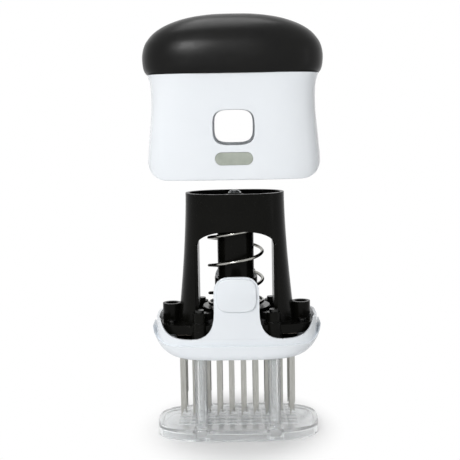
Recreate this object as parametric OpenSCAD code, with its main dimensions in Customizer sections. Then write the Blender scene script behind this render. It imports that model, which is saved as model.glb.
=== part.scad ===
// Blade meat tenderizer with a lift-off handle, drawn with the handle lifted clear of the
// tower, as it is for cleaning. The origin is under the middle of the clear guard, +Z is up
// and the front button faces -Y.

/* [Guard] */
// Width of the clear guard plate
guard_w = 105; // [96:1:116]
// Depth of the clear guard plate
guard_d = 58; // [56:1:66]
// Thickness of the clear guard plate
guard_t = 7.5; // [5:0.5:10]
// Thickness of the slotted top of the guard
guard_top = 3; // [2:0.25:4]
// Width of the rim that the guard stands on
guard_rim = 3; // [2:0.25:4]
// Squareness of the guard's outline
guard_n = 3.2; // [2.8:0.1:5]
// Radius of the guard's four columns
column_r = 4; // [3:0.1:4.2]
// Distance of the columns from the middle, across
column_x = 23.4; // [22.8:0.1:23.8]
// Distance of the columns from the middle, front to back
column_y = 21; // [20.8:0.1:21.1]

/* [Blades] */
// Blades in each row
blade_columns = 10; // [8:2:10]
// Distance between blades in a row
blade_pitch_x = 7.8; // [7.6:0.1:8]
// Distance between rows
blade_pitch_y = 7; // [6:0.1:7.1]
// Width of a blade
blade_w = 3.5; // [2.5:0.1:4]
// Thickness of a blade
blade_t = 0.9; // [0.6:0.1:1.2]
// Height of the strip that joins a row of blades
blade_spine_h = 10.8; // [8:0.1:13]
// Height of the slanted tip
blade_tip_h = 9; // [5:0.5:12]
// Gap between the blade tips and the guard plate at rest
blade_gap = 4.8; // [3:0.1:8]

/* [Tray] */
// Width of the tray and of the handle's lower edge
body_w = 108.4; // [107:0.1:112]
// Depth of the tray and of the handle's lower edge
body_d = 62; // [61:0.5:66]
// Height of the tray's underside over the table at rest
tray_z = 53; // [48:1:60]
// Thickness of the tray's floor
floor_t = 2.5; // [2:0.1:3.5]
// Width of the ledge that the handle lands on
ledge_w = 2.6; // [2.5:0.1:3]
// Height of the ledge over the tray's underside
ledge_h = 9.2; // [7:0.1:11]
// Thickness of the tray's inner wall
tray_wall = 1.7; // [1.4:0.1:1.8]
// Height of the tray's side walls over its underside
side_wall_h = 24.5; // [20:0.5:28]
// Height of the front wall between the side and the arm, over the underside
scallop_h = 13; // [11:0.5:15]

/* [Release arms] */
// Height of the button's middle over the ledge
catch_h = 32; // [28:0.5:36]
// Width of a button
button_w = 25; // [20:0.5:26]
// Height of a button
button_h = 21; // [16:0.5:22]
// How far a button stands out of its arm
button_out = 2.1; // [1.6:0.1:2.4]
// Half the width of the arm's head
arm_half_w = 14.2; // [13.5:0.1:15]

/* [Tower] */
// Width of the tower at its open top
tower_w = 63.2; // [60:0.2:64]
// How much wider the tower is at its base
tower_flare = 12.4; // [8:0.2:14]
// Depth of the tower
tower_d = 42; // [41.5:0.1:42.3]
// Height of the tower over its base plate
tower_h = 82.5; // [78:0.5:90]
// Wall of the tower
tower_wall = 2.4; // [1.8:0.1:3]
// Depth of the open cup in the top of the tower
cup_depth = 14.5; // [10:0.5:18]
// Thickness of the base plate
base_t = 5.6; // [4:0.1:7]
// Half the width of the arch windows
arch_half_w = 26; // [25.8:0.1:27]
// Height of the arch windows over the base plate
arch_h = 59; // [54:0.5:62]
// Radius of the tall outer bosses
outer_boss_r = 6; // [5.2:0.1:6.3]
// Height of the tall outer bosses over the base plate
outer_boss_h = 9; // [7:0.5:12]
// Radius of the guide pins that enter the tall bosses
guide_pin_r = 3.7; // [3:0.1:4]

/* [Spring and bridge] */
// Travel of the blades
travel = 30; // [24:1:32]
// Radius of the post
post_r = 11.75; // [10:0.25:12]
// Wall of the sleeve that slides on the post
sleeve_wall = 1.9; // [1.5:0.1:2.2]
// Height of the sleeve over the spring seat
sleeve_h = 19.4; // [14:0.2:22]
// Radius of the spring seat
seat_r = 21.9; // [20:0.1:22.2]
// Thickness of the bridge
bridge_t = 5; // [4:0.5:6]
// Gap between the sleeve and the spring
spring_gap = 2.4; // [1.8:0.1:2.4]
// Radius of the spring wire
wire_r = 1.05; // [0.8:0.05:1.05]
// Open turns of the spring
spring_turns = 2.75; // [2.25:0.25:4]

/* [Handle] */
// How far the handle is lifted over its seat on the tray
lift = 104; // [100:1:120]
// Wall of the housing
shell_wall = 2.2; // [1.8:0.05:2.25]
// How far the waist of the housing is drawn in
waist = 2.8; // [0:0.1:3.4]
// Height of the white housing under the cap
shell_h = 64.6; // [60:0.2:68]
// Width of the grip cap
cap_w = 113.2; // [112:0.2:120]
// Depth of the grip cap
cap_d = 67; // [66:0.5:72]
// Thickness of the rubber over the roof
crown_t = 5.3; // [5:0.1:8]
// Radius of the front-view corner at the parting line
parting_r = 12; // [8:0.5:14]

/* [Hidden] */

blade_rows = 5;
round_fn = 40;
outline_points = 56;
slack = 0.2;       // clearance of pieces that slide on each other
window_gap = 0.3;  // clearance of a button in its window
seat_gap = 0.1;    // clearance of pieces that are fixed to each other
cut = 1;           // how far a cutting shape runs past what it cuts
plan_n = 4;        // squareness of the housing and tray in plan
tower_n = 2.4;     // squareness of the tower in plan
window_n = 3.6;    // squareness of the windows and buttons

white = "#eef1f4";
black = "#18191b";
steel = "#b7b6b2";

// heights
tip_z = guard_t + blade_gap;
floor_z = tray_z + floor_t;
clamp_t = 2;
clamp_z = floor_z + blade_spine_h;
base_z = clamp_z + clamp_t + seat_gap;
base_top = base_z + base_t;
ledge_z = tray_z + ledge_h;
side_z = tray_z + side_wall_h;
scallop_z = tray_z + scallop_h;
button_z = ledge_z + catch_h;
rim_z = base_top + tower_h;
web_t = 3;
web_top = rim_z - cup_depth;
web_z = web_top - web_t;
boss_rise = 1.7;
boss_top = base_top + boss_rise;
socket_z = boss_top + slack;
socket_h = 6.1;
seat_z = socket_z + socket_h;
seat_washer_t = 0.8;
spring_z = seat_z + seat_washer_t;

// plan sizes
wall_a = body_w / 2 - ledge_w;
wall_b = body_d / 2 - ledge_w;
base_half_w = wall_a - tray_wall - 0.9;
base_half_d = wall_b - tray_wall - 2.5;
outer_boss_x = base_half_w - outer_boss_r - 1;
column_foot_r = column_r + 1.4;
column_solid = 4; // height over the plate at which a column's long bore ends
slot_rib = 1.1; // bar of the guard between two blades
slot_d = blade_t + 1.1;
socket_r = column_r + 0.4;
boss_wall = 1.2;
bore_r = column_r + slack;
boss_r = column_r + boss_wall;
spring_r = post_r + slack + sleeve_wall + spring_gap + wire_r;
post_spigot_r = 6;
post_spigot_h = 4;
leg_web_t = 2.6;
leg_web_half = 15.2;
arch_n = 2.6;
arch_rise = 14;

// small screws
screw_r = 1.5;
screw_clear = 0.05;
head_r = 2.8;
head_h = 1.8;
screw_wall = 1.5;
bridge_screw_length = 14;
base_screw_depth = 3 * head_r + 0.6;  // below the tower's base
frame_screw_depth = 2 * head_r - 0.1; // above the inner frame
post_screw_head_r = 1.5 * head_r;
post_screw_dome = post_screw_head_r - 0.8;

// blade block and the screws beside it
block_margin = 1.5;
block_w = (blade_columns - 1) * blade_pitch_x + blade_w + 2 * block_margin;
block_d = (blade_rows - 1) * blade_pitch_y + 3.2;
base_screw_x = block_w / 2 + screw_r + screw_wall + 0.25;
base_screw_y = 12.5;

// top of the tower
hub_r = 7;
hub_top = rim_z - 2.5;
crown_washer_r = 6.3;
crown_washer_t = 0.8;

// front-view curves of the tray's wall and the arms
scallop_rise = 18;
scallop_x = arm_half_w + 14.8;
scallop_top = scallop_z + scallop_rise;
scallop_span = wall_a - scallop_x + 2.4;

// handle
shell_z = ledge_z + lift;
seam_z = shell_z + shell_h;
roof_gap = 0.2;
roof_in = rim_z + lift + roof_gap;
roof_t = 1.8;
roof_out = roof_in + roof_t;
cap_top = roof_out + crown_t + seat_gap;
step_t = 2.2;      // thickness of the step under the cap
core_wall = 1.8;
core_half_w = body_w / 2 - 4.9;
core_half_d = body_d / 2 - 3.6;
core_top_w = tower_w / 2 + 0.9 + core_wall;
core_top_d = tower_d / 2 + 0.4 + core_wall;
frame_t = 3;
frame_share = 0.4716; // how far up the core the inner frame is fixed
frame_top = seam_z + frame_share * (roof_in - seam_z);
frame_half_w = core_half_w - 3.4;
frame_half_d = core_half_d - 2.4;
frame_screw_x = outer_boss_x - 1.5;
frame_screw_y = 13;

// plain inlay under the front window
badge_w = 23;
badge_face_h = 7.6;
badge_h = 13;
badge_t = 0.9;

// share of the housing's height and inset of its side
shell_profile = smooth([
    [0, 0.3], [0.08, 0.05], [0.2, 0], [0.42, 0.45 * waist], [0.66, 0.97 * waist],
    [0.84, waist], [0.94, 0.72 * waist], [1, 0.2 * waist]
], 2);
waist_depth = 0.1; // share of the waist that the front and back take

// share of the core's height and share of its narrowing
core_profile = [[0, 0], [0.38, 0.04], [0.62, 0.19], [0.81, 0.43], [0.94, 0.73], [1, 1]];

// share of the cap's height and inset of its side
cap_profile = smooth([
    [0, 2.8], [0.06, 1.2], [0.15, 0.3], [0.3, 0], [0.44, 0.9], [0.56, 3],
    [0.7, 7.7], [0.82, 15], [0.92, 25.5], [0.98, 38], [1, 49]
], 2);
cap_n = 3.1;
cap_squat = 0.7;

function sign_pow(v, e) = sign(v) * pow(abs(v), e);

// points of a superellipse with half sizes a and b and squareness n
function outline(a, b, n, count = outline_points) = [
    for (i = [0 : count - 1])
        let (t = 360 * i / count)
        [a * sign_pow(cos(t), 2 / n), b * sign_pow(sin(t), 2 / n)]
];

// a smooth curve through control points, with a number of steps between two of them
function between(p, i, t) =
    let (a = p[max(i - 1, 0)], b = p[i], c = p[i + 1], d = p[min(i + 2, len(p) - 1)])
    0.5 * (2 * b + (c - a) * t + (2 * a - 5 * b + 4 * c - d) * t * t
        + (3 * b - a - 3 * c + d) * t * t * t);
function smooth(p, steps) = concat(
    [for (i = [0 : len(p) - 2]) for (k = [0 : steps - 1]) between(p, i, k / steps)],
    [p[len(p) - 1]]
);

// solid through rings [height, half width, half depth], from bottom to top
module loft(rings, n, count = outline_points) {
    last = (len(rings) - 1) * count;
    points = [for (r = rings) for (p = outline(r[1], r[2], n, count)) [p[0], p[1], r[0]]];
    sides = [
        for (k = [0 : len(rings) - 2])
            for (i = [0 : count - 1])
                let (j = (i + 1) % count, low = k * count, high = (k + 1) * count)
                [low + i, high + i, high + j, low + j]
    ];
    bottom = [for (i = [0 : count - 1]) i];
    top = [for (i = [count - 1 : -1 : 0]) last + i];
    polyhedron(points = points, faces = concat([bottom], sides, [top]));
}

// a flat outline in the front view, drawn out through the whole depth
module through_front(depth = 2 * body_d) {
    translate([0, depth / 2, 0])
        rotate([90, 0, 0])
            linear_extrude(depth)
                children();
}

// copies at the four places (x, y), (-x, y), (x, -y) and (-x, -y)
module four(x, y) {
    for (sx = [-1, 1])
        for (sy = [-1, 1])
            translate([sx * x, sy * y, 0])
                children();
}

module screw(head_z, length, radius = screw_r, head = head_r, height = head_h) {
    translate([0, 0, head_z])
        cylinder(h = height, r = head, $fn = round_fn);
    translate([0, 0, head_z - length])
        cylinder(h = length, r = radius, $fn = round_fn);
}

// ---------------------------------------------------------------- guard and spring

module clear_guard() {
    color("#dfe8ea", 0.4)
        difference() {
            union() {
                difference() {
                    guard_plate(0, 0, guard_t);
                    guard_plate(guard_rim, -cut, guard_t - guard_top);
                }
                four(column_x, column_y)
                    cylinder(h = guard_t - guard_top / 2, r = column_foot_r, $fn = round_fn);
                four(column_x, column_y)
                    cylinder(h = socket_z, r = column_r, $fn = round_fn);
            }
            blade_places()
                translate([0, 0, guard_t - guard_top / 2])
                    cube([blade_pitch_x - slot_rib, slot_d, guard_top + cut], center = true);
            four(column_x, column_y)
                translate([0, 0, guard_t + column_solid])
                    cylinder(
                        h = socket_z - guard_t - column_solid + cut,
                        r = screw_r + screw_clear,
                        $fn = round_fn
                    );
        }
}

module guard_plate(inset, low, high) {
    translate([0, 0, low])
        linear_extrude(high - low)
            polygon(outline(guard_w / 2 - inset, guard_d / 2 - inset, guard_n));
}

// the spider that joins the columns, carries the spring and slides on the post
module guard_bridge() {
    arm_w = 6;
    arm_drop = 0.8;
    arm_start = post_r + sleeve_wall + 4;
    ring_z = seat_z - bridge_t;
    reach = norm([column_x, column_y]);
    color(black)
        difference() {
            union() {
                translate([0, 0, ring_z])
                    seat_disc(seat_r, bridge_t);
                cylinder_at(ring_z, seat_z + sleeve_h, post_r + slack + sleeve_wall);
                for (sx = [-1, 1])
                    for (sy = [-1, 1])
                        rotate([0, 0, atan2(sy * column_y, sx * column_x)])
                            translate([arm_start, -arm_w / 2, ring_z])
                                cube([reach - arm_start, arm_w, bridge_t - arm_drop]);
                four(column_x, column_y)
                    cylinder_at(socket_z, seat_z, socket_r);
            }
            cylinder_at(ring_z - cut, seat_z + sleeve_h + cut, post_r + slack);
            four(column_x, column_y)
                cylinder_at(socket_z - cut, seat_z + cut, screw_r + screw_clear);
        }
}

// a disc with its front and back cut flat, to stay clear of the release arms
module seat_disc(r, h) {
    flat = seat_r - 2;
    intersection() {
        cylinder(h = h, r = r, $fn = 2 * round_fn);
        translate([-r - cut, -flat, -cut])
            cube([2 * (r + cut), 2 * flat, h + 2 * cut]);
    }
}

module cylinder_at(low, high, r) {
    translate([0, 0, low])
        cylinder(h = high - low, r = r, $fn = 2 * round_fn);
}

module bridge_screws() {
    color(steel)
        four(column_x, column_y)
            screw(seat_z, bridge_screw_length + socket_h - 2);
}

module seat_washer() {
    color(steel)
        translate([0, 0, seat_z])
            difference() {
                seat_disc(seat_r - 0.3, seat_washer_t);
                cylinder_at(-cut, seat_washer_t + cut, post_r + sleeve_wall + 2 * slack);
            }
}

// coil with one closed turn at each end
module return_spring() {
    wire_sides = 8;
    turn_steps = 24;
    closed = 1;
    low = spring_z + wire_r;
    high = web_z - wire_r - seat_gap;
    turns = spring_turns + 2 * closed;
    steps = round(turns * turn_steps);
    start = 84;
    rise = high - low - 2 * closed * 2 * wire_r;
    function coil_z(t) = low + 2 * wire_r * min(t, closed)
        + rise * min(max(t - closed, 0), spring_turns) / spring_turns
        + 2 * wire_r * max(t - closed - spring_turns, 0);
    points = [
        for (k = [0 : steps])
            let (t = turns * k / steps, a = start + 360 * t, z = coil_z(t))
            for (i = [0 : wire_sides - 1])
                let (w = 360 * i / wire_sides, r = spring_r + wire_r * cos(w))
                [r * cos(a), r * sin(a), z + wire_r * sin(w)]
    ];
    sides = [
        for (k = [0 : steps - 1])
            for (i = [0 : wire_sides - 1])
                let (j = (i + 1) % wire_sides, a = k * wire_sides, b = (k + 1) * wire_sides)
                [a + i, a + j, b + j, b + i]
    ];
    first = [for (i = [wire_sides - 1 : -1 : 0]) i];
    last = [for (i = [0 : wire_sides - 1]) steps * wire_sides + i];
    color(steel)
        polyhedron(points = points, faces = concat([first], sides, [last]));
}

// ---------------------------------------------------------------- blades

module blade_places() {
    for (row = [1 : blade_rows])
        for (i = [0 : blade_columns - 1])
            translate([column_of(i), row_y(row), 0])
                children();
}
function column_of(i) = (i - (blade_columns - 1) / 2) * blade_pitch_x;
function row_y(row) = (row - (blade_rows + 1) / 2) * blade_pitch_y;

// one strip with its blades, the slant of the tips turned in every other row
module blade_row(row) {
    half = blade_w / 2;
    spine_half = column_of(blade_columns - 1) + half;
    edge_z = tip_z + blade_tip_h + 6;
    edge_t = 0.3;
    full_t = blade_t / 2 + 0.25;
    tooth = [
        [-half, floor_z + cut],
        [-half, tip_z + blade_tip_h],
        [half - 0.4, tip_z],
        [half, tip_z],
        [half, floor_z + cut]
    ];
    color(steel)
        translate([0, row_y(row), 0])
            intersection() {
                through_front(blade_t)
                    union() {
                        translate([-spine_half, floor_z])
                            square([2 * spine_half, blade_spine_h]);
                        for (i = [0 : blade_columns - 1])
                            translate([column_of(i), 0])
                                polygon(row % 2 == 0 ? tooth : [
                                    for (k = [len(tooth) - 1 : -1 : 0])
                                        [-tooth[k][0], tooth[k][1]]
                                ]);
                    }
                rotate([90, 0, 90])
                    translate([0, 0, -spine_half - cut])
                        linear_extrude(2 * (spine_half + cut))
                            polygon([
                                [-edge_t / 2, tip_z - cut],
                                [edge_t / 2, tip_z - cut],
                                [edge_t / 2, tip_z],
                                [full_t, edge_z],
                                [full_t, clamp_z + cut],
                                [-full_t, clamp_z + cut],
                                [-full_t, edge_z],
                                [-edge_t / 2, tip_z]
                            ]);
            }
}

module blade_carrier() {
    color(black)
        difference() {
            translate([-block_w / 2, -block_d / 2, floor_z])
                cube([block_w, block_d, blade_spine_h]);
            for (row = [1 : blade_rows])
                translate([0, row_y(row), floor_z + blade_spine_h / 2])
                    cube([
                        block_w - 2 * block_margin + 2 * slack,
                        blade_t + 2 * screw_clear,
                        blade_spine_h + 2 * cut
                    ], center = true);
        }
}

module clamp_plate() {
    color("#9b8f80")
        translate([-block_w / 2, -block_d / 2, clamp_z])
            cube([block_w, block_d, clamp_t]);
}

// ---------------------------------------------------------------- tray and release arms

// points of the curve where handle and tray meet, left to right, over a straight middle
function parting_curve() = [
    for (side = [-1, 1])
        for (k = [0 : 8])
            let (t = side < 0 ? 90 - k * 11.25 : k * 11.25)
            [
                side * (body_w / 2 - parting_r + parting_r * sin(t)),
                parting_r * (1 - cos(t))
            ]
];

// half of the hollow beside an arm: from the arm's head down to the front wall and up to the side
function scallop_inner() = [
    for (k = [0 : 8])
        let (t = k * 11.25)
        [
            scallop_x - (scallop_x - arm_half_w) * sign_pow(cos(t), 0.8),
            scallop_top - scallop_rise * sign_pow(sin(t), 0.8)
        ]
];
function scallop_outer() = [
    for (k = [1 : 8])
        let (t = 90 - k * 11.25)
        [
            scallop_x + scallop_span * sign_pow(cos(t), 1.1),
            scallop_top - scallop_rise * sign_pow(sin(t), 1.1)
        ]
];

// rings of the tray's bowl: a wide round corner across, a small one front to back
function bowl_rings(inset, low) = [
    for (k = [0 : 10])
        let (
            h = (k == 10 ? side_z + cut - low : k * k * 0.26),
            over = low + h - tray_z,
            u = max(0, 1 - over / 21),
            v = max(0, 1 - over / 4)
        )
        [
            low + h,
            body_w / 2 - inset - 18 * (1 - sqrt(1 - u * u)),
            body_d / 2 - inset - 2.5 * (1 - sqrt(1 - v * v))
        ]
];

module wall_band(low, high) {
    difference() {
        translate([0, 0, low])
            linear_extrude(high - low)
                polygon(outline(wall_a, wall_b, plan_n));
        translate([0, 0, low - cut])
            linear_extrude(high - low + 2 * cut)
                polygon(outline(wall_a - tray_wall, wall_b - tray_wall, plan_n));
    }
}

module blade_tray() {
    color(white)
        difference() {
            union() {
                intersection() {
                    loft(bowl_rings(0, tray_z), plan_n);
                    through_front()
                        polygon(concat(
                            [[body_w, tray_z - cut], [body_w, ledge_z + parting_r]],
                            [for (k = [len(parting_curve()) - 1 : -1 : 0])
                                parting_curve()[k] + [0, ledge_z]],
                            [[-body_w, ledge_z + parting_r], [-body_w, tray_z - cut]]
                        ));
                }
                intersection() {
                    wall_band(floor_z, side_z);
                    loft(bowl_rings(0, tray_z), plan_n);
                    through_front()
                        polygon(concat(
                            [[-body_w, floor_z - cut]],
                            wall_profile(),
                            [[body_w, floor_z - cut]]
                        ));
                }
                four(base_screw_x, base_screw_y)
                    cylinder_at(tray_z + floor_t / 2, base_z - seat_gap, screw_r + screw_wall);
            }
            intersection() {
                loft(bowl_rings(2.2, floor_z), plan_n);
                difference() {
                    translate([0, 0, floor_z])
                        linear_extrude(side_z)
                            polygon(outline(wall_a - tray_wall, wall_b - tray_wall, plan_n));
                    four(base_screw_x, base_screw_y)
                        cylinder_at(floor_z - cut, base_z - seat_gap, screw_r + screw_wall);
                }
            }
            blade_places()
                translate([0, 0, tray_z + floor_t / 2])
                    cube([blade_w + 0.5, blade_t + 0.5, floor_t + 2 * cut], center = true);
            four(column_x, column_y)
                cylinder_at(tray_z - cut, floor_z + cut, bore_r);
            four(base_screw_x, base_screw_y)
                cylinder_at(floor_z, base_z + cut, screw_r + screw_clear);
        }
}

// upper edge of the tray's inner wall in the front view, left to right
function wall_profile() = concat(
    [[-body_w, side_z]],
    [for (k = [7 : -1 : 0]) [-scallop_outer()[k][0], min(scallop_outer()[k][1], side_z)]],
    [[-scallop_x, scallop_z], [scallop_x, scallop_z]],
    [for (k = [0 : 7]) [scallop_outer()[k][0], min(scallop_outer()[k][1], side_z)]],
    [[body_w, side_z]]
);

// the arm rises out of the tray's front wall and carries the button that fills the window
module release_arm() {
    head_top = button_z + button_h / 2 + 0.9;
    corner = arm_half_w - 5.2;
    right = concat(
        [for (k = [8 : -1 : 0]) scallop_inner()[k]],
        [for (k = [0 : 6])
            let (t = k * 15)
            [arm_half_w - corner + corner * cos(t), head_top - corner + corner * sin(t)]]
    );
    left = [for (k = [len(right) - 1 : -1 : 0]) [-right[k][0], right[k][1]]];
    intersection() {
        wall_band(scallop_z, head_top + cut);
        translate([0, -wall_b, 0])
            through_front(wall_b)
                polygon(concat(right, left));
    }
    translate([0, -wall_b + tray_wall / 2, button_z])
        rotate([90, 0, 0])
            loft([
                [0, button_w / 2, button_h / 2],
                [tray_wall / 2 + button_out - 0.7, button_w / 2, button_h / 2],
                [tray_wall / 2 + button_out - 0.2, button_w / 2 - 0.4, button_h / 2 - 0.4],
                [tray_wall / 2 + button_out, button_w / 2 - 1.1, button_h / 2 - 1.1]
            ], window_n);
}

module front_release_arm() {
    color(white)
        release_arm();
}

module rear_release_arm() {
    color(white)
        rotate([0, 0, 180])
            release_arm();
}

// ---------------------------------------------------------------- tower

function tower_a(z) =
    tower_w / 2 + tower_flare / 2 * pow(max(0, (rim_z - z) / tower_h), 1.6);

module tower_loft(inset, low, high) {
    steps = 8;
    loft([
        for (k = [0 : steps])
            let (z = low + (high - low) * k / steps)
            [z, tower_a(z) - inset, tower_d / 2 - inset]
    ], tower_n);
}

module carrier_tower() {
    arch_spring = arch_h - arch_rise;
    web_in = arch_half_w - 2;
    boss_low = base_z - 6.4;
    color(black)
        difference() {
            union() {
                difference() {
                    tower_loft(0, base_top - cut, rim_z);
                    tower_loft(tower_wall, base_top - 2 * cut, web_z);
                    tower_loft(tower_wall, web_top, rim_z + cut);
                    through_front()
                        translate([0, base_top])
                            polygon(concat(
                                [[-arch_half_w, 0]],
                                [for (k = [0 : 16])
                                    let (t = 180 - k * 11.25)
                                    [
                                        arch_half_w * sign_pow(cos(t), 2 / arch_n),
                                        arch_spring + arch_rise * sign_pow(sin(t), 2 / arch_n)
                                    ]],
                                [[arch_half_w, 0]]
                            ));
                }
                for (sx = [-1, 1])
                    translate([sx * web_in + (sx < 0 ? -leg_web_t : 0), -leg_web_half, base_top - cut])
                        cube([leg_web_t, 2 * leg_web_half, arch_h - 8]);
                translate([0, 0, base_z])
                    linear_extrude(base_t)
                        polygon(outline(base_half_w, base_half_d, plan_n));
                for (sx = [-1, 1])
                    translate([sx * outer_boss_x, 0, 0])
                        cylinder_at(base_z, base_top + outer_boss_h, outer_boss_r);
                four(column_x, column_y)
                    cylinder_at(boss_low, boss_top, boss_r);
                cylinder_at(web_top - cut, hub_top, hub_r);
            }
            for (sx = [-1, 1])
                translate([sx * outer_boss_x, 0, 0])
                    cylinder_at(base_z + 2, base_top + outer_boss_h + cut, guide_pin_r + 0.3);
            four(column_x, column_y)
                cylinder_at(boss_low - cut, boss_top + cut, bore_r);
            four(base_screw_x, base_screw_y)
                cylinder_at(base_z - cut, base_top + cut, screw_r + screw_clear);
            cylinder_at(base_top - post_spigot_h, base_top + cut, post_spigot_r + screw_clear);
            cylinder_at(web_z - cut, hub_top + cut, screw_r + screw_clear);
        }
}

module base_screws() {
    color(steel)
        four(base_screw_x, base_screw_y)
            screw(base_top, base_t + base_screw_depth);
}

module spring_post() {
    floor_gap = seat_gap;
    cap_h = 8;
    color(black)
        difference() {
            union() {
                cylinder_at(base_top + floor_gap, web_z - floor_gap, post_r);
                cylinder_at(base_top - post_spigot_h + floor_gap, base_top + cut, post_spigot_r);
            }
            cylinder_at(base_top + 3, web_z - cap_h, post_r - 2.2);
            cylinder_at(web_z - cap_h - cut, web_z + cut, screw_r + screw_clear);
        }
}

module crown_washer() {
    color(steel)
        translate([0, 0, hub_top])
            difference() {
                cylinder(h = crown_washer_t, r = crown_washer_r, $fn = 2 * round_fn);
                cylinder_at(-cut, crown_washer_t + cut, screw_r + slack);
            }
}

module post_screw() {
    head = post_screw_head_r;
    dome = post_screw_dome;
    head_z = hub_top + crown_washer_t;
    color(steel)
        union() {
            translate([0, 0, head_z])
                intersection() {
                    cylinder(h = dome, r = head, $fn = round_fn);
                    translate([0, 0, dome - head * 1.25])
                        sphere(r = head * 1.25, $fn = 2 * round_fn);
                }
            cylinder_at(web_z - 7, head_z + cut / 4, screw_r);
        }
}

// ---------------------------------------------------------------- handle

function core_rings(inset, low, high) = [
    for (p = core_profile)
        [
            low + (high - low) * p[0],
            core_half_w + (core_top_w - core_half_w) * p[1] - inset,
            core_half_d + (core_top_d - core_half_d) * p[1] - inset
        ]
];

function shell_rings(inset, last_share) = [
    for (p = shell_profile)
        if (p[0] <= last_share)
            [
                shell_z + shell_h * p[0],
                body_w / 2 - p[1] - inset,
                body_d / 2 - waist_depth * p[1] - inset
            ]
];

module shell_outside() {
    loft(concat(shell_rings(0, 1), core_rings(0, seam_z + 0.01, roof_out)), plan_n);
}

module shell_inside() {
    rings = shell_rings(shell_wall, 0.95);
    skirt = [shell_z - cut, rings[0][1], rings[0][2]];
    step = [seam_z - step_t, core_half_w - core_wall, core_half_d - core_wall];
    loft(concat([skirt], rings, [step], core_rings(core_wall, seam_z, roof_in)), plan_n);
}

module handle_shell() {
    color(white)
        difference() {
            intersection() {
                union() {
                    difference() {
                        shell_outside();
                        shell_inside();
                    }
                    intersection() {
                        four(frame_screw_x, frame_screw_y)
                            cylinder_at(frame_top, roof_out, screw_r + 2.1);
                        loft(core_rings(core_wall / 2, seam_z, roof_out - roof_t / 2), plan_n);
                    }
                }
                through_front()
                    polygon(concat(
                        [[-body_w, roof_out + cut], [-body_w, shell_z + parting_r]],
                        [for (p = parting_curve()) p + [0, shell_z]],
                        [[body_w, shell_z + parting_r], [body_w, roof_out + cut]]
                    ));
            }
            translate([0, 0, shell_z + catch_h])
                through_front()
                    polygon(outline(button_w / 2 + window_gap, button_h / 2 + window_gap, window_n));
            four(frame_screw_x, frame_screw_y)
                cylinder_at(frame_top - cut, frame_top + frame_screw_depth + 0.5, screw_r + screw_clear);
            cylinder_at(roof_in - cut, roof_out + cut, crown_washer_r + slack);
            translate([0, -body_d / 2 + badge_t - 2, shell_z + badge_h])
                badge_shape(0.15, 4);
        }
}

module badge_shape(grow, depth) {
    r = badge_face_h / 2 + grow;
    rotate([90, 0, 0])
        translate([0, 0, -depth / 2])
            linear_extrude(depth)
                union() {
                    square([badge_w - badge_face_h, 2 * r], center = true);
                    for (x = [-1, 1])
                        translate([x * (badge_w - badge_face_h) / 2, 0])
                            circle(r = r, $fn = round_fn);
                }
}

module badge_inlay() {
    color("#a3a79c")
        translate([0, -body_d / 2 + badge_t / 2 + 0.1, shell_z + badge_h])
            badge_shape(0, badge_t - 0.2);
}

module grip_cap() {
    low = seam_z + seat_gap;
    color(black)
        difference() {
            loft([
                for (p = cap_profile)
                    let (a = cap_w / 2 - p[1])
                    [
                        low + (cap_top - low) * p[0],
                        a,
                        cap_d / 2 * pow(a / (cap_w / 2), cap_squat)
                    ]
            ], cap_n);
            loft(concat(
                [[seam_z - cut, core_half_w + seat_gap, core_half_d + seat_gap]],
                core_rings(-seat_gap, seam_z + 0.01, roof_out + seat_gap)
            ), plan_n);
        }
}

// ring inside the housing with the two pins that enter the tall bosses
module handle_frame() {
    top = frame_top - seat_gap;
    pin_low = base_z + 3.6 + lift;
    opening_w = tower_a(top - frame_t - lift) + 0.9;
    opening_d = tower_d / 2 + 0.8;
    color(black)
        difference() {
            union() {
                difference() {
                    translate([0, 0, top - frame_t])
                        linear_extrude(frame_t)
                            polygon(outline(frame_half_w, frame_half_d, plan_n));
                    translate([0, 0, top - frame_t - cut])
                        linear_extrude(frame_t + 2 * cut)
                            polygon(outline(opening_w, opening_d, tower_n));
                }
                for (sx = [-1, 1])
                    translate([sx * outer_boss_x, 0, 0])
                        cylinder_at(pin_low, top - frame_t + cut, guide_pin_r);
            }
            four(frame_screw_x, frame_screw_y)
                cylinder_at(top - frame_t - cut, top + cut, screw_r + screw_clear);
        }
}

module frame_screws() {
    color(steel)
        four(frame_screw_x, frame_screw_y)
            translate([0, 0, frame_top - seat_gap - frame_t])
                rotate([180, 0, 0])
                    screw(0, frame_t + frame_screw_depth);
}

clear_guard();
guard_bridge();
bridge_screws();
seat_washer();
return_spring();
blade_tray();
front_release_arm();
rear_release_arm();
blade_row(1);  // blade_row_1
blade_row(2);  // blade_row_2
blade_row(3);  // blade_row_3
blade_row(4);  // blade_row_4
blade_row(5);  // blade_row_5
blade_carrier();
clamp_plate();
carrier_tower();
base_screws();
spring_post();
crown_washer();
post_screw();
handle_shell();
grip_cap();
handle_frame();
frame_screws();
badge_inlay();
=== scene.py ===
"""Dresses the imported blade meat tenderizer: smooth skins, procedural materials, studio and camera."""

import math

import bmesh
import bpy
from mathutils import Matrix, Vector


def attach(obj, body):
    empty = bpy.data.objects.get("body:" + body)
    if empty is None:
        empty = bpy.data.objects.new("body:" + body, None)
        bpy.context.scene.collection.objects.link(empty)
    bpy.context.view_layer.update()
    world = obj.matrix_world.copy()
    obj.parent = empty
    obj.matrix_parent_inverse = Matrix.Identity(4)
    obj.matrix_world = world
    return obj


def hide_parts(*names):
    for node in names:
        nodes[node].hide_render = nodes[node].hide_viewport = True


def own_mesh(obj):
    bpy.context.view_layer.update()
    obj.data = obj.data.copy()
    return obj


MM = 0.001
plan_points, tower_points, round_points, bar_points = 176, 160, 96, 72    # fineness of outlines
cut = 1                             # how far a cutting tool runs past a face
beyond_x, beyond_y, beyond_z = 90, 80, 140                # clear of the tray on every side

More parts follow.
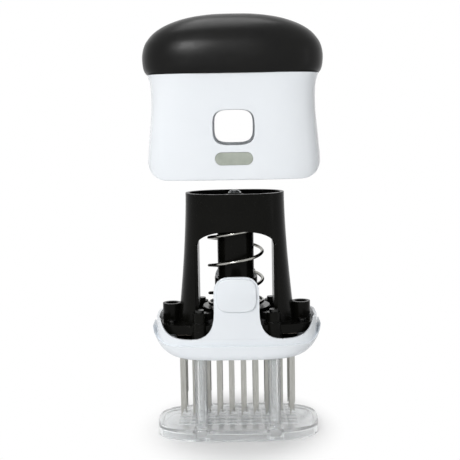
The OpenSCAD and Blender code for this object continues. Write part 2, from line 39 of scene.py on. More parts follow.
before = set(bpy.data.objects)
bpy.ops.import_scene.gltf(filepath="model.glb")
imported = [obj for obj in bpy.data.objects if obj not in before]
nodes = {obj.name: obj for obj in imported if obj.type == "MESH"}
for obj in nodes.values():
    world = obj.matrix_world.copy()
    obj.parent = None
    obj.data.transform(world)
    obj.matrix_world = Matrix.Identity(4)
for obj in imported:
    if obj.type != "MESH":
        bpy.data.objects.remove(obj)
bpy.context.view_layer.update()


# ---------------------------------------------------------------- sizes, in millimetres

body_w, body_d = 108.4, 62.0        # tray and housing
plan_n = 4                          # squareness in plan
parting_r = 12.0                    # front-view corner at the parting line
shell_wall = 2.2
waist = 2.8
waist_depth = 0.1                   # share of the waist that the front and back take
shell_z = 166.2                     # lower edge of the lifted housing
shell_h = 64.6
seam_z = shell_z + shell_h
shell_steps, edge_h, inner_bevel = 30, 0.8, 0.5     # rings of the side, round and bevelled edge
seam_gap = 0.02
roof_out, roof_in, roof_hole_r = 262.5, 260.7, 6.4
core_half = (49.3, 27.4)            # core inside the cap, at the seam
core_top = (34.3, 23.2)             # core at the roof
core_wall = 1.8
# share of the core's height, and of the way from core_half to core_top
core_profile = [(0, 0), (0.38, 0.04), (0.62, 0.19), (0.81, 0.43), (0.94, 0.73), (1, 1)]
step_t = 2.2
window = (12.8, 10.8, 32.0, 3.6)    # half width, half height, height over the edge, squareness
badge = (23.3, 7.9, 13.0, 0.9)      # width, height, height over the edge, depth of the pocket
cap_w, cap_d, cap_n, cap_squat = 113.2, 67.0, 3.1, 0.7
cap_top = 267.9
cap_gap = 0.1
spring_low, spring_high = 83.85, 137.85
spring_r, wire_r = 17.3, 1.05
spring_turns, spring_start = 2.75, 84.0

guard_w, guard_d, guard_t, guard_n = 105.0, 58.0, 7.5, 3.2
guard_top, guard_rim = 3.0, 3.0     # slotted top and the rim it stands on
column_at, column_r, column_top = (23.4, 21.0), 4.0, 75.9
column_foot_r, column_solid = 5.4, 4.0
screw_hole_r = 1.55
blade_pitch, blade_count = (7.8, 7.0), (10, 5)
slot_size = (6.7, 2.0)              # in the guard
tray_slot = (4.0, 1.4)              # in the tray's floor

tray_z, floor_z, ledge_z, side_z = 53.0, 55.5, 62.2, 77.5
bowl_round = (18.0, 21.0)           # rounding of the tray's ends: inset and height
bowl_front = (2.5, 4.0)             # the same at its front and back
lip_z = 71.9                        # top of the thin lip at the tray's ends
wall_half, wall_inset, tray_wall = (51.6, 28.4), 0.35, 1.7
scallop_z, scallop_rise, scallop_x, scallop_out = 66.0, 18.0, 29.0, 19.5
scallop_power = 0.7                 # the lower, the squarer
base_screw_at, screw_post_r, screw_post_top = (41.6, 12.5), 3.0, 68.3
wall_over, cavity_over = 88, 93     # tops of the tools that form the wall and the cavity

tower_half, tower_n, tower_wall = (31.6, 21.0), 2.4, 2.4
tower_flare, flare_power, tower_h = 6.2, 1.6, 82.5
tower_steps = 32                    # rings of its side
base_z, base_top, boss_top, boss_low = 68.4, 74.0, 75.7, 62.0
base_half = (49.0, 24.2)
rim_z, web_top, web_z = 156.5, 142.0, 139.0
hub_r, hub_top = 7.0, 154.0
arch_half_w, arch_spring, arch_rise, arch_n = 26.0, 45.0, 14.0, 2.6
arch_sunk = 4                       # how far the windows' outline starts below the base's top
leg_web = (24.0, 26.6, 15.2, 51.0)  # inner and outer x, half depth, height over the base
outer_boss = (42.0, 6.0, 84.8, 4.0, 70.4)   # x, radius, top, bore, bottom of the bore
column_boss_r, column_bore_r = 5.4, 4.2
boss_step = (0.45, 5)               # how much slimmer the tops of the column bosses are, and how long
post_spigot_r, post_spigot_h = 6.05, 4.0


# ---------------------------------------------------------------- shapes

def sign_pow(v, e):
    return math.copysign(abs(v) ** e, v)


def outline(a, b, n, count):
    """Points of a superellipse with half sizes a and b and squareness n."""
    turn = [2 * math.pi * i / count for i in range(count)]
    return [(a * sign_pow(math.cos(t), 2 / n), b * sign_pow(math.sin(t), 2 / n)) for t in turn]


def even_outline(a, b, n, count):
    """The same curve with its points evenly spaced, so that the corners stay round."""
    fine = outline(a, b, n, 1440)
    fine.append(fine[0])
    length = [0.0]
    for (x0, y0), (x1, y1) in zip(fine, fine[1:]):
        length.append(length[-1] + math.hypot(x1 - x0, y1 - y0))
    points, k = [], 0
    for i in range(count):
        want = length[-1] * i / count
        while length[k + 1] < want:
            k += 1
        share = (want - length[k]) / (length[k + 1] - length[k])
        (x0, y0), (x1, y1) = fine[k], fine[k + 1]
        points.append((x0 + (x1 - x0) * share, y0 + (y1 - y0) * share))
    return points


def smooth(points, steps):
    """A Catmull-Rom curve through control points."""
    curve = []
    for i in range(len(points) - 1):
        p0, p1 = points[max(i - 1, 0)], points[i]
        p2, p3 = points[i + 1], points[min(i + 2, len(points) - 1)]
        for k in range(steps):
            t = k / steps
            curve.append(tuple(
                0.5 * (2 * b + (c - a) * t + (2 * a - 5 * b + 4 * c - d) * t * t
                       + (3 * b - a - 3 * c + d) * t * t * t)
                for a, b, c, d in zip(p0, p1, p2, p3)))
    return curve + [tuple(points[-1])]


def mesh_object(name, points, faces):
    mesh = bpy.data.meshes.new(name)
    mesh.from_pydata([Vector(p) * MM for p in points], [], faces)
    mesh.validate()
    mesh.update()
    made = bpy.data.objects.new(name, mesh)
    bpy.context.scene.collection.objects.link(made)
    return made


def ring_faces(low, high, count):
    """Faces between two rings of points, from the index of each ring's first point."""
    return [
        (low + i, low + (i + 1) % count, high + (i + 1) % count, high + i)
        for i in range(count)
    ]


def lofted(name, rings):
    """A closed solid through rings of points, from bottom to top."""
    count = len(rings[0])
    faces = [tuple(reversed(range(count)))]
    for k in range(len(rings) - 1):
        faces += ring_faces(k * count, (k + 1) * count, count)
    faces.append(tuple(range((len(rings) - 1) * count, len(rings) * count)))
    made = mesh_object(name, [p for ring in rings for p in ring], faces)
    work = bmesh.new()
    work.from_mesh(made.data)
    bmesh.ops.recalc_face_normals(work, faces=work.faces)
    work.to_mesh(made.data)
    work.free()
    return made


def level_ring(z, a, b, n, count=plan_points):
    return [(x, y, z) for x, y in even_outline(a, b, n, count)]


def combine(piece, tool, operation):
    """Cuts, joins or intersects the piece with a tool for good, and deletes the tool."""
    modifier = piece.modifiers.new("combine", "BOOLEAN")
    modifier.operation, modifier.solver, modifier.object = operation, "EXACT", tool
    done = bpy.data.meshes.new_from_object(
        piece.evaluated_get(bpy.context.evaluated_depsgraph_get()))
    piece.modifiers.clear()
    piece.data = done
    bpy.data.objects.remove(tool)


def cut_away(piece, *tools):
    for tool in tools:
        combine(piece, tool, "DIFFERENCE")


def add(piece, *tools):
    for tool in tools:
        combine(piece, tool, "UNION")


def keep_inside(piece, tool):
    combine(piece, tool, "INTERSECT")


def gathered(pieces):
    """One object from several that don't touch."""
    first = pieces[0]
    work = bmesh.new()
    for piece in pieces:
        work.from_mesh(piece.data)
    work.to_mesh(first.data)
    work.free()
    for piece in pieces[1:]:
        bpy.data.objects.remove(piece)
    return first


def upright(name, points, low, high):
    """A flat outline in plan, raised from low to high."""
    return lofted(name, [[(x, y, z) for x, y in points] for z in (low, high)])


def through_front(name, points):
    """A front-view outline of points (x, z), pushed through the whole object along y."""
    return lofted(name, [[(x, y, z) for x, z in points] for y in (beyond_y, -beyond_y)])


def round_bar(name, centre, radius, low, high):
    x0, y0 = centre
    ring = [(x0 + x, y0 + y) for x, y in outline(radius, radius, 2, bar_points)]
    return upright(name, ring, low, high)


def block(name, low, high):
    plan = [(low[0], low[1]), (high[0], low[1]), (high[0], high[1]), (low[0], high[1])]
    return upright(name, plan, low[2], high[2])


def four(at):
    return [(sx * at[0], sy * at[1]) for sx in (-1, 1) for sy in (-1, 1)]


def four_bars(name, at, radius, low, high):
    return gathered([round_bar(name, centre, radius, low, high) for centre in four(at)])


def blade_slots(name, size, low, high):
    """One box at the place of every blade."""
    boxes = []
    for i in range(blade_count[0]):
        for k in range(blade_count[1]):
            x = (i - (blade_count[0] - 1) / 2) * blade_pitch[0]
            y = (k - (blade_count[1] - 1) / 2) * blade_pitch[1]
            boxes.append(block(
                name, (x - size[0] / 2, y - size[1] / 2, low),
                (x + size[0] / 2, y + size[1] / 2, high)))
    return gathered(boxes)


def shade(piece, degrees=32):
    """Smooth shading that keeps edges sharper than the angle."""
    for polygon in piece.data.polygons:
        polygon.use_smooth = True
    work = bmesh.new()
    work.from_mesh(piece.data)
    for edge in work.edges:
        edge.smooth = len(edge.link_faces) == 2 and edge.calc_face_angle(0) < math.radians(degrees)
    work.to_mesh(piece.data)
    work.free()


# ---------------------------------------------------------------- guard

def guard_skin():
    """The clear guard: rounded plate with a rim below, blade slots and four bored columns."""
    roof = guard_t - guard_top

    def ring(z, inset):
        return level_ring(z, guard_w / 2 - inset, guard_d / 2 - inset, guard_n)

    # each ring's height and inset, first down the inside, then up the outside
    hollow = [(roof, 1.0), (roof - 0.15, 0.5), (roof - 0.5, 0.15), (roof - 1, 0), (0.2, 0), (0, -0.2)]
    outside = [
        (0, 0.4), (0.1, 0.12), (0.4, 0), (guard_t - 1.2, 0), (guard_t - 0.7, 0.1),
        (guard_t - 0.3, 0.35), (guard_t - 0.08, 0.75), (guard_t, 1.3)]
    rings = [ring(z, guard_rim + inset) for z, inset in hollow]
    skin = lofted("guard_skin", rings + [ring(z, inset) for z, inset in outside])
    columns = []
    foot_top = guard_t - guard_top / 2
    profile = [
        (0, column_foot_r - 0.3), (0.3, column_foot_r), (foot_top, column_foot_r),
        (foot_top, column_r + 0.8), (guard_t, column_r + 0.7), (guard_t + 0.3, column_r + 0.3),
        (guard_t + 0.9, column_r), (column_top, column_r)]
    for x0, y0 in four(column_at):
        columns.append(lofted("column", [
            [(x0 + x, y0 + y, z) for x, y in outline(r, r, 2, round_points)] for z, r in profile]))
    add(skin, gathered(columns))
    cut_away(
        skin,
        blade_slots("guard_slots", slot_size, roof - cut, guard_t + cut),
        four_bars("column_bores", column_at, screw_hole_r, guard_t + column_solid, column_top + cut))
    shade(skin)
    return skin


# ---------------------------------------------------------------- tray

def bowl(name, inset, low, top):
    """The tray's outer form: wide round ends, a small rounding front and back."""
    rings = []
    for degrees in range(0, 91, 2):
        turn = math.radians(degrees)
        over = bowl_round[1] * (1 - math.cos(turn))
        if tray_z + over < low:
            continue
        front = max(0, 1 - over / bowl_front[1])
        a = body_w / 2 - inset - bowl_round[0] * (1 - math.sin(turn))
        b = body_d / 2 - inset - bowl_front[0] * (1 - math.sqrt(1 - front ** 2))
        rings.append(level_ring(tray_z + over, a, b, plan_n))
    rings.append(level_ring(top, body_w / 2 - inset, body_d / 2 - inset, plan_n))
    return lofted(name, rings)


def right_and_left(right):
    """An even outline from the points of its right half."""
    return right + [(-x, z) for x, z in reversed(right)]


def above_parting():
    """Everything over the curve where the handle meets the tray; each end is cut level."""
    right = []
    for degrees in range(0, 90, 3):
        t = math.radians(degrees)
        z = ledge_z + parting_r * (1 - math.cos(t))
        if z < lip_z:
            right.append((body_w / 2 - parting_r + parting_r * math.sin(t), z))
    right += [(beyond_x, lip_z), (beyond_x, beyond_z)]
    return through_front("above_parting", right_and_left(right))


def scallop(degrees):
    """A point of the hollow beside an arm, at an angle from its outer end to its lowest point."""
    t = math.radians(degrees)
    x = scallop_x + scallop_out * sign_pow(math.cos(t), scallop_power)
    return x, scallop_z + scallop_rise * (1 - sign_pow(math.sin(t), scallop_power))


def above_wall():
    """Everything over the tray's scalloped wall."""
    right = [scallop(t) for t in range(90, -1, -5)]
    right = [(x, min(z, side_z)) for x, z in right] + [(beyond_x, side_z), (beyond_x, beyond_z)]
    return through_front("above_wall", right_and_left(right))


def wall_ring(inset, low, high):
    plan = even_outline(wall_half[0] - inset, wall_half[1] - inset, plan_n, plan_points)
    return upright("wall", plan, low, high)


def tray_skin():
    """The tray: a bowl with a scalloped wall on its ledge, hollow, with slots and bores below."""
    skin = bowl("tray_skin", 0, tray_z, wall_over + 2)
    cut_away(skin, above_parting())
    wall = bowl("wall", wall_inset, tray_z, wall_over + 2)
    keep_inside(wall, wall_ring(0, floor_z, wall_over))
    cut_away(wall, above_wall())
    add(skin, wall)
    cavity = bowl("cavity", shell_wall, floor_z, cavity_over + 2)
    keep_inside(cavity, wall_ring(tray_wall, floor_z, cavity_over))
    cut_away(cavity, four_bars("posts", base_screw_at, screw_post_r, floor_z - cut, screw_post_top))
    cut_away(
        skin, cavity,
        blade_slots("tray_slots", tray_slot, tray_z - cut, floor_z + cut),
        four_bars("column_bores", column_at, column_bore_r, tray_z - cut, floor_z + cut),
        four_bars("screw_bores", base_screw_at, screw_hole_r, floor_z, wall_over))
    shade(skin)
    return skin


# ---------------------------------------------------------------- tower

def tower_loft(name, inset, low, high):
    """The tower's outer form, wider towards its foot."""
    rings = []
    for k in range(tower_steps + 1):
        z = low + (high - low) * k / tower_steps
        share = max(0, (rim_z - z) / tower_h)
        a = tower_half[0] + tower_flare * share ** flare_power
        rings.append(level_ring(z, a - inset, tower_half[1] - inset, tower_n, tower_points))
    return lofted(name, rings)


def arch_outline():
    """The front view of the tower's windows."""
    arch = [(-arch_half_w, base_top - arch_sunk)]
    for degrees in range(180, -1, -3):
        t = math.radians(degrees)
        arch.append((
            arch_half_w * sign_pow(math.cos(t), 2 / arch_n),
            base_top + arch_spring + arch_rise * sign_pow(math.sin(t), 2 / arch_n)))
    return arch + [(arch_half_w, base_top - arch_sunk)]


def tower_skin():
    """The tower: a shell with arch windows, webs beside them, a base plate, bosses and a hub."""
    skin = tower_loft("tower_skin", 0, base_top - cut, rim_z)
    cut_away(
        skin,
        tower_loft("inside_low", tower_wall, base_top - 2 * cut, web_z),
        tower_loft("inside_high", tower_wall, web_top, rim_z + cut),
        through_front("arch", arch_outline()))
    webs = []
    for side in (-1, 1):
        x0, x1 = sorted((side * leg_web[0], side * leg_web[1]))
        webs.append(block(
            "web", (x0, -leg_web[2], base_top - cut), (x1, leg_web[2], base_top - cut + leg_web[3])))
    x, r, top, bore, bore_low = outer_boss
    add(
        skin, gathered(webs),
        upright("base", even_outline(*base_half, plan_n, plan_points), base_z, base_top),
        gathered([round_bar("boss", (s * x, 0), r, base_z + 0.01, top) for s in (-1, 1)]),
        four_bars("column_bosses", column_at, column_boss_r, boss_low, boss_top - boss_step[1]),
        four_bars(
            "column_boss_tops", column_at, column_boss_r - boss_step[0],
            boss_top - boss_step[1] - cut, boss_top),
        round_bar("hub", (0, 0), hub_r, web_top - cut, hub_top))
    cut_away(
        skin,
        gathered([round_bar("pin_bore", (s * x, 0), bore, bore_low, top + cut) for s in (-1, 1)]),
        four_bars("column_bores", column_at, column_bore_r, boss_low - cut, boss_top + cut),
        four_bars("screw_bores", base_screw_at, screw_hole_r, base_z - cut, base_top + cut),
        round_bar("spigot", (0, 0), post_spigot_r, base_top - post_spigot_h, base_top + cut),
        round_bar("hub_bore", (0, 0), screw_hole_r, web_z - cut, hub_top + cut))
    shade(skin)
    return skin


# ---------------------------------------------------------------- housing and cap

def shell_profile():
    """Heights over the housing's edge, each with the inset of its side."""
    share = smooth([
        (0, 0.3), (0.08, 0.05), (0.2, 0), (0.42, 0.45 * waist), (0.66, 0.97 * waist),
        (0.84, waist), (0.94, 0.72 * waist), (1, 0.2 * waist)], 6)
    return [(z * shell_h, inset) for z, inset in share]


def inset_at(profile, height):
    for (z0, i0), (z1, i1) in zip(profile, profile[1:]):
        if height <= z1:
            return i0 + (i1 - i0) * (height - z0) / (z1 - z0)
    return profile[-1][1]


def parting_rise(x):
    """How far the parting line has risen at a distance x from the middle."""
    over = min(max(abs(x) - (body_w / 2 - parting_r), 0), parting_r)
    return parting_r - math.sqrt(parting_r ** 2 - over ** 2)


def shell_ring(profile, inset, share, top, lift=0.0):
    """One ring of the housing's side: share 0 follows the parting line, share 1 is level at top."""
    ring = []
    for x, y in even_outline(1, 1, plan_n, plan_points):
        height = 0.0
        for _ in range(4):
            side = inset_at(profile, height)
            a, b = body_w / 2 - side - inset, body_d / 2 - waist_depth * side - inset
            low = parting_rise(min(a * abs(x) + inset, body_w / 2)) + lift
            height = low + (top - low) * share
        ring.append((a * x, b * y, shell_z + height))
    return ring


def core_rings(low, high, wall):
    """The rounded core inside the cap, from the seam at low to the roof at high."""
    rings = []
    for rise, share in core_profile:
        a, b = (half + (top - half) * share - wall for half, top in zip(core_half, core_top))
        rings.append(level_ring(low + (high - low) * rise, a, b, plan_n))
    return rings


def housing_skin():
    """The housing with the core under the cap, its windows, the badge's pocket and a screw hole."""
    profile = shell_profile()
    shares = [k / shell_steps for k in range(shell_steps + 1)]
    # the rounded lower edge: height and inset
    edge = [(0, 0.9), (0.1, 0.4), (0.35, 0.12)]
    outer = [shell_ring(profile, inset, 0, shell_h, lift) for lift, inset in edge]
    outer += [shell_ring(profile, 0, share, shell_h, edge_h) for share in shares]
    outer += core_rings(seam_z + seam_gap, roof_out + seam_gap, 0)
    inner_top = shell_h - step_t
    inner = [shell_ring(profile, shell_wall - inner_bevel, 0, inner_top)]
    inner += [shell_ring(profile, shell_wall, share, inner_top, inner_bevel) for share in shares]
    inner += core_rings(seam_z, roof_in, core_wall)
    skin = lofted("housing_skin", inner[::-1] + outer)
    half_w, half_h, window_rise, n = window
    badge_w, badge_h, badge_rise, pocket = badge
    for name, shape, rise, low_y, high_y in (
        ("windows", outline(half_w, half_h, n, round_points), window_rise, -body_d, body_d),
        ("badge_pocket", pill(badge_w, badge_h), badge_rise, -body_d, -body_d / 2 + pocket),
    ):
        cut_away(skin, lofted(name, [
            [(x, y, shell_z + rise + z) for x, z in shape] for y in (high_y, low_y)]))
    cut_away(skin, round_bar("screw_hole", (0, 0), roof_hole_r, roof_in - cut, roof_out + cut))
    shade(skin)
    return skin


def pill(width, height):
    """A flat outline with round ends."""
    r, steps = height / 2, 24
    points = []
    for side, start in ((1, -90), (-1, 90)):
        for k in range(steps + 1):
            t = math.radians(start + 180 * k / steps)
            points.append((side * (width / 2 - r) + r * math.cos(t), r * math.sin(t)))
    return points


def cap_skin():
    """The soft cap, with a rolled lower lip and hollow below."""
    # share of the cap's height, and inset
    profile = smooth([
        (0, 2.8), (0.06, 1.2), (0.15, 0.3), (0.3, 0), (0.44, 0.9), (0.56, 3),
        (0.7, 7.7), (0.82, 15), (0.92, 25.5), (0.98, 38), (1, 49)], 7)
    low = seam_z + cap_gap
    tall = cap_top - low

    def ring(share, inset, extra=0.0):
        a = cap_w / 2 - inset
        b = cap_d / 2 * (a / (cap_w / 2)) ** cap_squat
        return level_ring(low + tall * share, a - extra, b - extra, cap_n)

    outside = [ring(share, inset) for share, inset in profile]
    # the nearly flat middle of the top
    crown = [ring(1 + 0.0006 * k, 49 + 1.9 * k) for k in range(1, 4)]
    lip = [ring(0, 2.8, 0.5), ring(0.012, 2.8, 0.05)]
    hollow = core_rings(low, roof_out + cap_gap, -cap_gap)
    skin = lofted("cap_skin", hollow[::-1] + lip + outside[1:] + crown)
    shade(skin, 40)
    return skin


# ---------------------------------------------------------------- spring

def spring_skin():
    """The coil as a fine round tube with closed ends."""
    sides, steps = 16, 64
    closed = 1                      # flat turns at each end
    turns = spring_turns + 2 * closed
    rise = spring_high - spring_low - 4 * closed * wire_r

    def height(t):
        return (spring_low + 2 * wire_r * min(t, closed)
                + rise * min(max(t - closed, 0), spring_turns) / spring_turns
                + 2 * wire_r * max(t - closed - spring_turns, 0))

    total = round(turns * steps)
    rings = []
    for k in range(total + 1):
        t = turns * k / total
        turn = math.radians(spring_start + 360 * t)
        ring = []
        for i in range(sides):
            w = 2 * math.pi * i / sides
            r = spring_r + wire_r * math.cos(w)
            ring.append((r * math.cos(turn), r * math.sin(turn), height(t) + wire_r * math.sin(w)))
        rings.append(ring[::-1])
    coil = lofted("spring_skin", rings)
    shade(coil, 60)
    return coil


# ---------------------------------------------------------------- materials

noise_low, noise_high = 0.3, 0.7    # where most of a noise texture's values lie


def set_inputs(node, **values):
    for socket, value in values.items():
        node.inputs[socket.replace("_", " ")].default_value = value


class Finish:
    """A Principled material whose colour, roughness and relief come from procedural textures."""

    def __init__(self, name, **sockets):
        self.material = bpy.data.materials.new(name)
        self.material.use_nodes = True
        self.tree = self.material.node_tree
        self.shader = self.tree.nodes["Principled BSDF"]
        set_inputs(self.shader, **sockets)
        self.place = self.node("TexCoord").outputs["Object"]
        self.normal = None

    def node(self, kind, **values):
        made = self.tree.nodes.new("ShaderNode" + kind)
        set_inputs(made, **values)
        return made

    def link(self, output, target):
        self.tree.links.new(output, target)

    def noise(self, scale, detail, stretch=(1, 1, 1)):
        mapping = self.node("Mapping", Scale=stretch)
        self.link(self.place, mapping.inputs["Vector"])
        made = self.node("TexNoise", Scale=scale, Detail=detail, Roughness=0.55)
        self.link(mapping.outputs["Vector"], made.inputs["Vector"])
        return made.outputs["Fac"]

    def cells(self, scale):
        made = self.node("TexVoronoi", Scale=scale)
        self.link(self.place, made.inputs["Vector"])
        return made.outputs["Distance"]

    def colour(self, value, dark, light):
        made = self.node("ValToRGB")
        stops = zip(made.color_ramp.elements, (noise_low, noise_high), (dark, light))
        for stop, place, tone in stops:
            stop.position, stop.color = place, (*tone, 1)
        self.link(value, made.inputs["Fac"])
        self.link(made.outputs["Color"], self.shader.inputs["Base Color"])

    def roughness(self, value, low, high):
        made = self.node(
            "MapRange", From_Min=noise_low, From_Max=noise_high, To_Min=low, To_Max=high)
        self.link(value, made.inputs["Value"])
        self.link(made.outputs["Result"], self.shader.inputs["Roughness"])

    def rounded(self, radius):
        """Softens every edge of the surface by a radius in millimetres."""
        made = self.node("Bevel", Radius=radius * MM)
        made.samples = 6
        self.normal = made.outputs["Normal"]
        self.link(self.normal, self.shader.inputs["Normal"])

    def relief(self, value, strength, height):
        made = self.node("Bump", Strength=strength, Distance=height * MM)
        self.link(value, made.inputs["Height"])
        if self.normal:
            self.link(self.normal, made.inputs["Normal"])
        self.normal = made.outputs["Normal"]
        self.link(self.normal, self.shader.inputs["Normal"])


def white_plastic(name, edge, gloss):
    finish = Finish(name, Specular_IOR_Level=gloss)
    finish.colour(finish.noise(14, 3), (0.80, 0.835, 0.87), (0.83, 0.86, 0.89))
    finish.roughness(finish.noise(90, 5), 0.13, 0.24)
    finish.rounded(edge)
    finish.relief(finish.noise(700, 3), 0.05, 0.05)
    finish.relief(finish.noise(60, 6, (1, 1, 14)), 0.03, 0.03)
    return finish.material


def black_plastic():
    finish = Finish("black_plastic", Specular_IOR_Level=0.08)
    finish.colour(finish.noise(25, 4), (0.0022, 0.0022, 0.0018), (0.0042, 0.0042, 0.0032))
    finish.roughness(finish.noise(110, 6), 0.16, 0.32)
    finish.rounded(0.3)
    finish.relief(finish.noise(650, 4), 0.08, 0.05)
    finish.relief(finish.noise(40, 6, (14, 14, 1)), 0.05, 0.04)
    return finish.material


def grip_rubber():
    finish = Finish("grip_rubber", Specular_IOR_Level=0.18)
    finish.colour(finish.noise(60, 6), (0.001, 0.001, 0.001), (0.003, 0.003, 0.0026))
    finish.roughness(finish.noise(140, 6), 0.28, 0.37)
    finish.relief(finish.noise(2600, 3), 0.22, 0.06)
    finish.relief(finish.cells(1500), 0.1, 0.04)
    return finish.material


def clear_plastic():
    finish = Finish("clear_plastic", Transmission_Weight=0.84, IOR=1.49)
    finish.colour(finish.noise(30, 3), (0.955, 0.975, 0.985), (0.985, 0.995, 1.0))
    finish.roughness(finish.noise(160, 5), 0.0, 0.05)
    finish.relief(finish.noise(120, 3), 0.05, 0.03)
    return finish.material


def blade_steel():
    finish = Finish("blade_steel", Metallic=1.0, Anisotropic=0.5)
    finish.colour(finish.noise(220, 6, (8, 1, 0.6)), (0.36, 0.36, 0.335), (0.50, 0.50, 0.475))
    finish.roughness(finish.noise(260, 6, (10, 1, 0.5)), 0.26, 0.42)
    finish.rounded(0.12)
    finish.relief(finish.noise(900, 5, (14, 2, 0.5)), 0.12, 0.03)
    return finish.material


def spring_steel():
    finish = Finish("spring_steel", Metallic=1.0)
    finish.colour(finish.noise(300, 5), (0.30, 0.295, 0.27), (0.44, 0.435, 0.41))
    finish.roughness(finish.noise(500, 5), 0.14, 0.28)
    finish.relief(finish.noise(1800, 4), 0.1, 0.02)
    return finish.material


def washer_steel():
    finish = Finish("washer_steel", Metallic=1.0)
    finish.colour(finish.noise(400, 5), (0.42, 0.42, 0.41), (0.6, 0.6, 0.58))
    finish.roughness(finish.noise(700, 4), 0.08, 0.2)
    finish.rounded(0.2)
    finish.relief(finish.noise(1500, 4), 0.08, 0.02)
    return finish.material


def blackened_steel():
    finish = Finish("blackened_steel", Metallic=1.0)
    finish.colour(finish.noise(400, 5), (0.015, 0.015, 0.016), (0.05, 0.05, 0.048))
    finish.roughness(finish.noise(700, 4), 0.2, 0.36)
    finish.rounded(0.25)
    finish.relief(finish.noise(1500, 4), 0.1, 0.02)
    return finish.material


def clamp_steel():
    finish = Finish("clamp_steel", Metallic=1.0)
    finish.colour(finish.noise(120, 6, (1, 6, 1)), (0.28, 0.24, 0.2), (0.42, 0.37, 0.32))
    finish.roughness(finish.noise(200, 5, (1, 8, 1)), 0.3, 0.45)
    finish.rounded(0.15)
    finish.relief(finish.noise(700, 4, (1, 8, 1)), 0.12, 0.02)
    return finish.material


def inlay_plastic():
    finish = Finish("inlay_plastic")
    finish.colour(finish.noise(200, 5), (0.33, 0.36, 0.31), (0.40, 0.43, 0.375))
    finish.roughness(finish.noise(500, 5), 0.3, 0.45)
    finish.rounded(0.25)
    finish.relief(finish.noise(1600, 3), 0.12, 0.03)
    return finish.material


def soften(node, degrees=30):
    """Joins the facets of a CAD node and shades them smooth, with its real edges kept sharp."""
    group = bpy.data.node_groups.new(node.name + "_soften", "GeometryNodeTree")
    for way in ("INPUT", "OUTPUT"):
        group.interface.new_socket("Mesh", in_out=way, socket_type="NodeSocketGeometry")
    start, end = group.nodes.new("NodeGroupInput"), group.nodes.new("NodeGroupOutput")
    clean = group.nodes.new("GeometryNodeRemoveAttribute")
    clean.inputs["Name"].default_value = "custom_normal"
    weld = group.nodes.new("GeometryNodeMergeByDistance")
    weld.inputs["Distance"].default_value = 0.002 * MM
    all_smooth = group.nodes.new("GeometryNodeSetShadeSmooth")
    sharp = group.nodes.new("GeometryNodeSetShadeSmooth")
    sharp.domain = "EDGE"
    sharp.inputs["Shade Smooth"].default_value = False
    angle = group.nodes.new("GeometryNodeInputMeshEdgeAngle")
    over = group.nodes.new("FunctionNodeCompare")
    over.inputs["B"].default_value = math.radians(degrees)
    group.links.new(angle.outputs["Unsigned Angle"], over.inputs["A"])
    group.links.new(over.outputs["Result"], sharp.inputs["Selection"])
    chain = [start, clean, weld, all_smooth, sharp, end]
    for before, after in zip(chain, chain[1:]):
        group.links.new(before.outputs[0], after.inputs[0])
    node.modifiers.new("soften", "NODES").node_group = group


def dress(piece, material):
    piece.data.materials.clear()
    piece.data.materials.append(material)


# ---------------------------------------------------------------- studio

def softbox(name, at, aim, size, power):
    """A white lamp of width and height size, in metres, with its power in watts."""
    data = bpy.data.lights.new(name, "AREA")
    data.shape, data.size, data.size_y, data.energy = "RECTANGLE", *size, power
    lamp = bpy.data.objects.new(name, data)
    lamp.location = at
    lamp.rotation_euler = (Vector(aim) - Vector(at)).to_track_quat("-Z", "Y").to_euler()
    bpy.context.scene.collection.objects.link(lamp)


# name, place, aim, size in metres, power in watts
lamps = [
    ("top_softbox", (-0.10, 0.05, 1.10), (0, 0, 0.1), (0.7, 0.5), 5.0),
    ("key_softbox", (-0.42, -1.15, 0.72), (0, 0, 0.2), (0.40, 0.15), 8.6),
    ("right_strip", (0.95, -0.45, 0.2), (0, 0, 0.12), (0.10, 0.7), 0.3)]
light_left, light_right = 0.54, 0.23        # strength of the surroundings
floor_half, floor_gap = 8.0, 0.02           # in metres, and millimetres below the object
floor_tone, shadow_tone = 0.8, 0.83         # as the object is lit by it, and as it is seen
shadow_edge, shadow_stretch = (0.04, 0.09), (1.25, 1, 1)


def seen_directly(tree):
    """1 for rays that show the background: straight, in glossy surfaces and through clear ones."""
    path = tree.nodes.new("ShaderNodeLightPath")
    total = None
    for ray in ("Is Camera Ray", "Is Glossy Ray", "Is Transmission Ray"):
        if total is None:
            total = path.outputs[ray]
            continue
        either = tree.nodes.new("ShaderNodeMath")
        either.operation, either.use_clamp = "MAXIMUM", True
        tree.links.new(total, either.inputs[0])
        tree.links.new(path.outputs[ray], either.inputs[1])
        total = either.outputs[0]
    return total


def blend_of(tree, share, low, high):
    """Mixes two shaders: low where share is 0, high where it is 1."""
    mix = tree.nodes.new("ShaderNodeMixShader")
    tree.links.new(share, mix.inputs["Fac"])
    for slot, shader in ((1, low), (2, high)):
        tree.links.new(shader.outputs[0], mix.inputs[slot])
    return mix


def near_object(tree):
    """1 under the object and 0 further out, across the edge of its shadow."""
    place = tree.nodes.new("ShaderNodeTexCoord")
    oval = tree.nodes.new("ShaderNodeMapping")
    set_inputs(oval, Scale=shadow_stretch)
    away = tree.nodes.new("ShaderNodeVectorMath")
    away.operation = "LENGTH"
    near = tree.nodes.new("ShaderNodeMapRange")
    near.interpolation_type = "SMOOTHSTEP"
    set_inputs(near, From_Min=shadow_edge[0], From_Max=shadow_edge[1], To_Min=1.0, To_Max=0.0)
    tree.links.new(place.outputs["Object"], oval.inputs["Vector"])
    tree.links.new(oval.outputs["Vector"], away.inputs[0])
    tree.links.new(away.outputs["Value"], near.inputs["Value"])
    return near.outputs["Result"]


def paint(tree, tone):
    made = tree.nodes.new("ShaderNodeBsdfDiffuse")
    set_inputs(made, Color=(tone, tone, tone, 1))
    return made


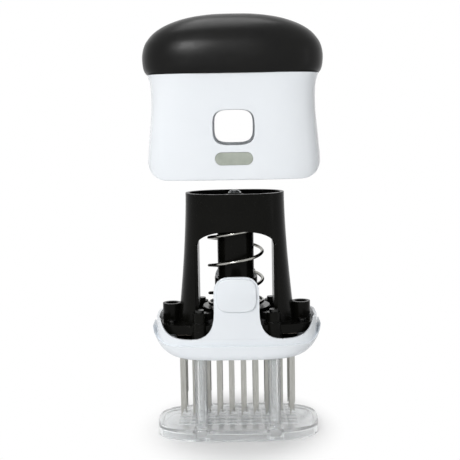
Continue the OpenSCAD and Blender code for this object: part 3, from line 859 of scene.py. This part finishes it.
def floor():
    """A pale floor that keeps the object's shadow near it and runs out to white."""
    reach = floor_half / MM
    ground = mesh_object("floor", [
        (x * reach, y * reach, -floor_gap) for x, y in ((-1, -1), (1, -1), (1, 1), (-1, 1))
    ], [(0, 1, 2, 3)])
    material = bpy.data.materials.new("floor_paint")
    material.use_nodes = True
    tree = material.node_tree
    tree.nodes.clear()
    output = tree.nodes.new("ShaderNodeOutputMaterial")
    white = tree.nodes.new("ShaderNodeEmission")
    shown = blend_of(tree, near_object(tree), white, paint(tree, shadow_tone))
    surface = blend_of(tree, seen_directly(tree), paint(tree, floor_tone), shown)
    tree.links.new(surface.outputs[0], output.inputs["Surface"])
    ground.data.materials.append(material)


def surroundings():
    """Soft light from all round, stronger from the left, and white where it is seen directly."""
    world = bpy.data.worlds.new("studio")
    bpy.context.scene.world = world
    world.use_nodes = True
    tree = world.node_tree
    tree.nodes.clear()
    output = tree.nodes.new("ShaderNodeOutputWorld")
    soft, white = (tree.nodes.new("ShaderNodeBackground") for _ in range(2))
    for light in (soft, white):
        set_inputs(light, Color=(1, 1, 1, 1), Strength=1.0)
    place = tree.nodes.new("ShaderNodeTexCoord")
    towards = tree.nodes.new("ShaderNodeSeparateXYZ")
    side = tree.nodes.new("ShaderNodeMapRange")
    set_inputs(side, From_Min=-1, From_Max=1, To_Min=light_left, To_Max=light_right)
    tree.links.new(place.outputs["Generated"], towards.inputs[0])
    tree.links.new(towards.outputs["X"], side.inputs["Value"])
    tree.links.new(side.outputs["Result"], soft.inputs["Strength"])
    surface = blend_of(tree, seen_directly(tree), soft, white)
    tree.links.new(surface.outputs[0], output.inputs["Surface"])


# The view was worked out from the photograph: focal length and offset of the object in pixels
image_px = 460
focal_px = 935.0
axis_px = 5.3
pitch, roll = math.radians(7.13), math.radians(1.0)
eye_distance, eye_height = 0.600, 0.2068


def camera():
    data = bpy.data.cameras.new("camera")
    data.sensor_width = 36
    data.lens = data.sensor_width * focal_px / image_px
    eye = bpy.data.objects.new("camera", data)
    yaw = math.atan(axis_px / focal_px)
    eye.matrix_world = (
        Matrix.Translation((0, -eye_distance, eye_height)) @ Matrix.Rotation(yaw, 4, "Z")
        @ Matrix.Rotation(math.pi / 2 - pitch, 4, "X") @ Matrix.Rotation(-roll, 4, "Z"))
    bpy.context.scene.collection.objects.link(eye)
    bpy.context.scene.camera = eye


# ---------------------------------------------------------------- putting it together

def main():
    white, black, steel = white_plastic("white_plastic", 0.35, 0.5), black_plastic(), blade_steel()
    screws, washer, clear = blackened_steel(), washer_steel(), clear_plastic()
    finishes = {
        "clear_guard": clear, "guard_bridge": black, "bridge_screws": screws,
        "seat_washer": screws, "return_spring": spring_steel(),
        "blade_tray": white_plastic("tray_plastic", 0.1, 0.2),
        "front_release_arm": white, "rear_release_arm": white, "blade_carrier": black,
        "clamp_plate": clamp_steel(), "carrier_tower": black, "base_screws": screws,
        "spring_post": black, "crown_washer": washer, "post_screw": washer,
        "handle_shell": white, "grip_cap": grip_rubber(), "handle_frame": black,
        "frame_screws": screws, "badge_inlay": inlay_plastic(),
    }
    # the blade rows are all that isn't named above
    for name, node in nodes.items():
        dress(node, finishes.get(name, steel))
        soften(node)

    for make, node, body, slot in (
        (housing_skin, "handle_shell", "handle", "white_plastic"),
        (cap_skin, "grip_cap", "handle", "grip_rubber"),
        (spring_skin, "return_spring", "guard", "steel"),
        (guard_skin, "clear_guard", "guard", "clear_plastic"),
        (tray_skin, "blade_tray", "carriage", "white_plastic"),
        (tower_skin, "carrier_tower", "carriage", "black_plastic"),
    ):
        skin = make()
        dress(skin, finishes[node])
        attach(skin, body)
        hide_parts(node)
        if node == "return_spring":
            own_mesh(skin)

    floor()
    surroundings()
    for lamp in lamps:
        softbox(*lamp)
    camera()
    bpy.context.scene.view_settings.view_transform = "Standard"


main()
